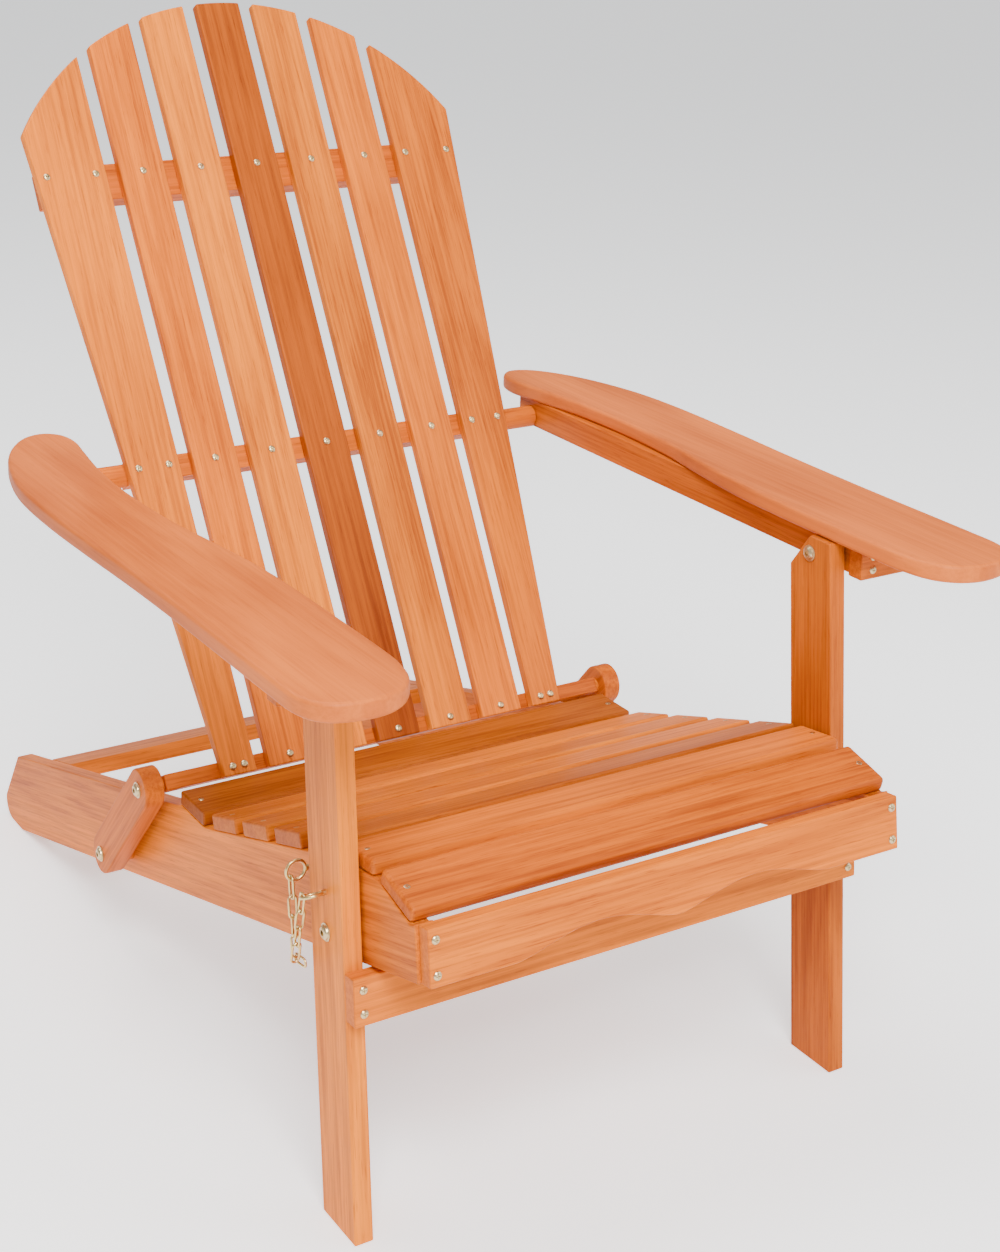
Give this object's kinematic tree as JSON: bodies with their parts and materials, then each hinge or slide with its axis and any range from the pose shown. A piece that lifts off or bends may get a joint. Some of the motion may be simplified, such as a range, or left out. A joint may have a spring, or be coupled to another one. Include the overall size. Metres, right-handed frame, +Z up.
{
  "type": "adirondack chair",
  "caption": "Folding wooden garden chair with a sloping slatted seat, a fan of back slats, wide arms, hinged front legs and a short keeper chain",
  "frame": {"origin": "on the floor, at the middle of the chair's width and depth", "axes": "+Z up, -Y is where the sitter faces, +X to the sitter's left, across the chair"},
  "size_m": [0.738, 1.006, 0.9585],
  "materials": {
    "frame_wood": "oiled hardwood, satin",
    "seat_wood": "oiled hardwood, satin",
    "dark_wood": "oiled hardwood, satin",
    "leg_wood": "oiled hardwood, satin",
    "arm_wood": "oiled hardwood, satin",
    "back_wood": "oiled hardwood, satin",
    "brass": "yellow-plated steel, bright"
  },
  "bodies": {
    "seat_frame": {"rail_left": "frame_wood", "rail_right": "frame_wood", "seat_slat_1": "seat_wood", "seat_slat_2": "seat_wood", "seat_slat_3": "seat_wood", "seat_slat_4": "seat_wood", "seat_slat_5": "seat_wood", "seat_slat_6": "seat_wood", "seat_slat_7": "seat_wood", "seat_slat_screws": "brass", "apron": "frame_wood", "apron_screws": "brass", "rear_stretcher": "dark_wood", "rail_eye": "brass", "link_spacers": "dark_wood"},
    "front_legs": {"leg_left": "leg_wood", "leg_right": "leg_wood", "front_stretcher": "leg_wood", "front_stretcher_screws": "brass", "leg_eye": "brass", "leg_pivot_bolts": "brass", "leg_washers": "brass", "arm_pivot_bolts": "brass"},
    "arm_left": {"armrest_left": "arm_wood", "arm_rail_left": "dark_wood", "arm_cleat_left": "leg_wood", "arm_screws_left": "brass", "back_pivot_bolt_left": "brass"},
    "arm_right": {"armrest_right": "arm_wood", "arm_rail_right": "dark_wood", "arm_cleat_right": "leg_wood", "arm_screws_right": "brass", "back_pivot_bolt_right": "brass"},
    "link_left": {"link_left": "dark_wood", "link_rail_bolt_left": "brass", "link_back_bolt_left": "brass"},
    "link_right": {"link_right": "dark_wood", "link_rail_bolt_right": "brass", "link_back_bolt_right": "brass"},
    "back": {"back_slat_1": "back_wood", "back_slat_2": "back_wood", "back_slat_3": "back_wood", "back_slat_4": "back_wood", "back_slat_5": "back_wood", "back_slat_6": "back_wood", "back_slat_7": "back_wood", "top_batten": "dark_wood", "middle_batten": "dark_wood", "bottom_batten": "dark_wood", "top_batten_screws": "brass", "middle_batten_screws": "brass", "bottom_batten_screws": "brass", "batten_washers": "dark_wood"},
    "chain_rail": {"chain_rail_strand": "brass"},
    "chain_leg": {"chain_leg_strand": "brass"}
  },
  "joints": [
    {"name": "leg_fold", "type": "hinge", "parent": "seat_frame", "child": "front_legs", "pos_m": [0, -0.353, 0.269], "axis": [1, 0, 0], "range_deg": [0, 50]},
    {"name": "arm_left_turn", "type": "hinge", "parent": "front_legs", "child": "arm_left", "pos_m": [0, -0.33, 0.51], "axis": [1, 0, 0], "range_deg": [-36, 0]},
    {"name": "arm_right_turn", "type": "hinge", "parent": "front_legs", "child": "arm_right", "pos_m": [0, -0.33, 0.51], "axis": [1, 0, 0], "range_deg": [-36, 0]},
    {"name": "link_left_turn", "type": "hinge", "parent": "seat_frame", "child": "link_left", "pos_m": [0, 0.12196, 0.12733], "axis": [1, 0, 0], "range_deg": [-12, 0]},
    {"name": "link_right_turn", "type": "hinge", "parent": "seat_frame", "child": "link_right", "pos_m": [0, 0.12196, 0.12733], "axis": [1, 0, 0], "range_deg": [-12, 0]},
    {"name": "back_turn", "type": "hinge", "parent": "link_left", "child": "back", "pos_m": [0, 0.02164, 0.24152], "axis": [1, 0, 0], "range_deg": [0, 56]},
    {"name": "chain_rail_turn", "type": "hinge", "parent": "seat_frame", "child": "chain_rail", "pos_m": [-0.2785, -0.305, 0.29721], "axis": [1, 0, 0], "range_deg": [-7, 0]},
    {"name": "chain_leg_turn", "type": "hinge", "parent": "front_legs", "child": "chain_leg", "pos_m": [-0.2875, -0.34394, 0.30171], "axis": [1, 0, 0], "range_deg": [-31, 0]}
  ],
  "couplings": [
    {"joint": "arm_left_turn", "follows": "leg_fold", "ratio": -0.719},
    {"joint": "arm_right_turn", "follows": "leg_fold", "ratio": -0.719},
    {"joint": "link_left_turn", "follows": "leg_fold", "ratio": -0.2334},
    {"joint": "link_right_turn", "follows": "leg_fold", "ratio": -0.2334},
    {"joint": "back_turn", "follows": "leg_fold", "ratio": 1.1184},
    {"joint": "chain_rail_turn", "follows": "leg_fold", "ratio": -0.124},
    {"joint": "chain_leg_turn", "follows": "leg_fold", "ratio": -0.6}
  ]
}
